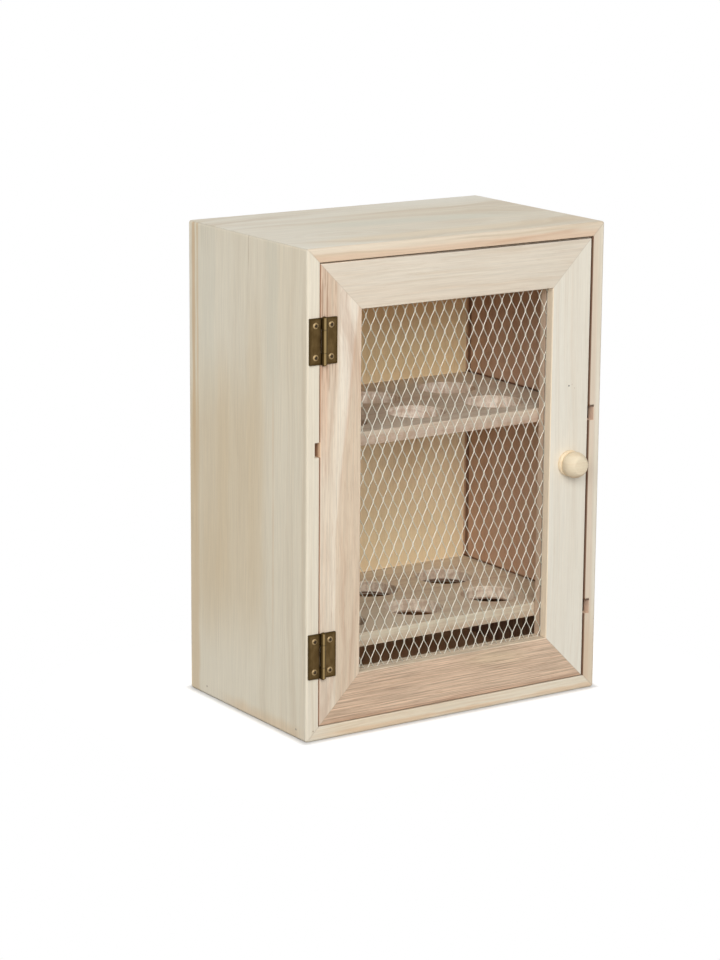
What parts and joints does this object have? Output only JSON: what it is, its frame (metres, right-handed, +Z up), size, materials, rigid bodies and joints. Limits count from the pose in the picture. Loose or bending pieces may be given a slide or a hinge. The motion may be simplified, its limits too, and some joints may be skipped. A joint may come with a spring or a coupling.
{
  "type": "egg cupboard",
  "caption": "Small free-standing egg cupboard in raw pale wood with a hinged wire-mesh door, a turned knob and fixed shelves drilled with round egg holes.",
  "frame": {"origin": "middle of the carcass's footprint on the floor", "axes": "+Z up, -Y towards the door, +X towards the knob side as seen from the front"},
  "size_m": [0.2, 0.1378, 0.275],
  "materials": {
    "carcass_wood": "raw, sanded",
    "door_wood": "raw, sanded",
    "shelf_wood": "raw, sanded",
    "back_plywood": "raw plywood",
    "knob_wood": "turned, smooth",
    "mesh_steel": "galvanised, matt",
    "antique_brass": "antiqued",
    "brass_screws": "antiqued",
    "steel_fixings": "plain"
  },
  "bodies": {
    "carcass": {"top_panel": "carcass_wood", "bottom_panel": "carcass_wood", "left_side_panel": "carcass_wood", "right_side_panel": "carcass_wood", "upper_shelf": "shelf_wood", "lower_shelf": "shelf_wood", "back_panel": "back_plywood", "upper_hinge_carcass_leaf": "antique_brass", "upper_hinge_pin": "antique_brass", "upper_hinge_carcass_screws": "brass_screws", "lower_hinge_carcass_leaf": "antique_brass", "lower_hinge_pin": "antique_brass", "lower_hinge_carcass_screws": "brass_screws", "back_panel_pins": "steel_fixings", "corner_brads": "steel_fixings", "catch_magnet": "steel_fixings"},
    "door": {"hinge_stile": "door_wood", "latch_stile": "door_wood", "door_top_rail": "door_wood", "door_bottom_rail": "door_wood", "wire_mesh": "mesh_steel", "knob": "knob_wood", "knob_screw": "steel_fixings", "strike_plate": "steel_fixings", "strike_screw": "steel_fixings", "mitre_nails": "steel_fixings", "upper_hinge_door_leaf": "antique_brass", "upper_hinge_door_screws": "brass_screws", "lower_hinge_door_leaf": "antique_brass", "lower_hinge_door_screws": "brass_screws"}
  },
  "joints": [
    {"name": "door_hinge", "type": "hinge", "parent": "carcass", "child": "door", "pos_m": [-0.0902, -0.0642, 0.1374], "axis": [0, 0, -1], "range_deg": [0, 180]}
  ]
}
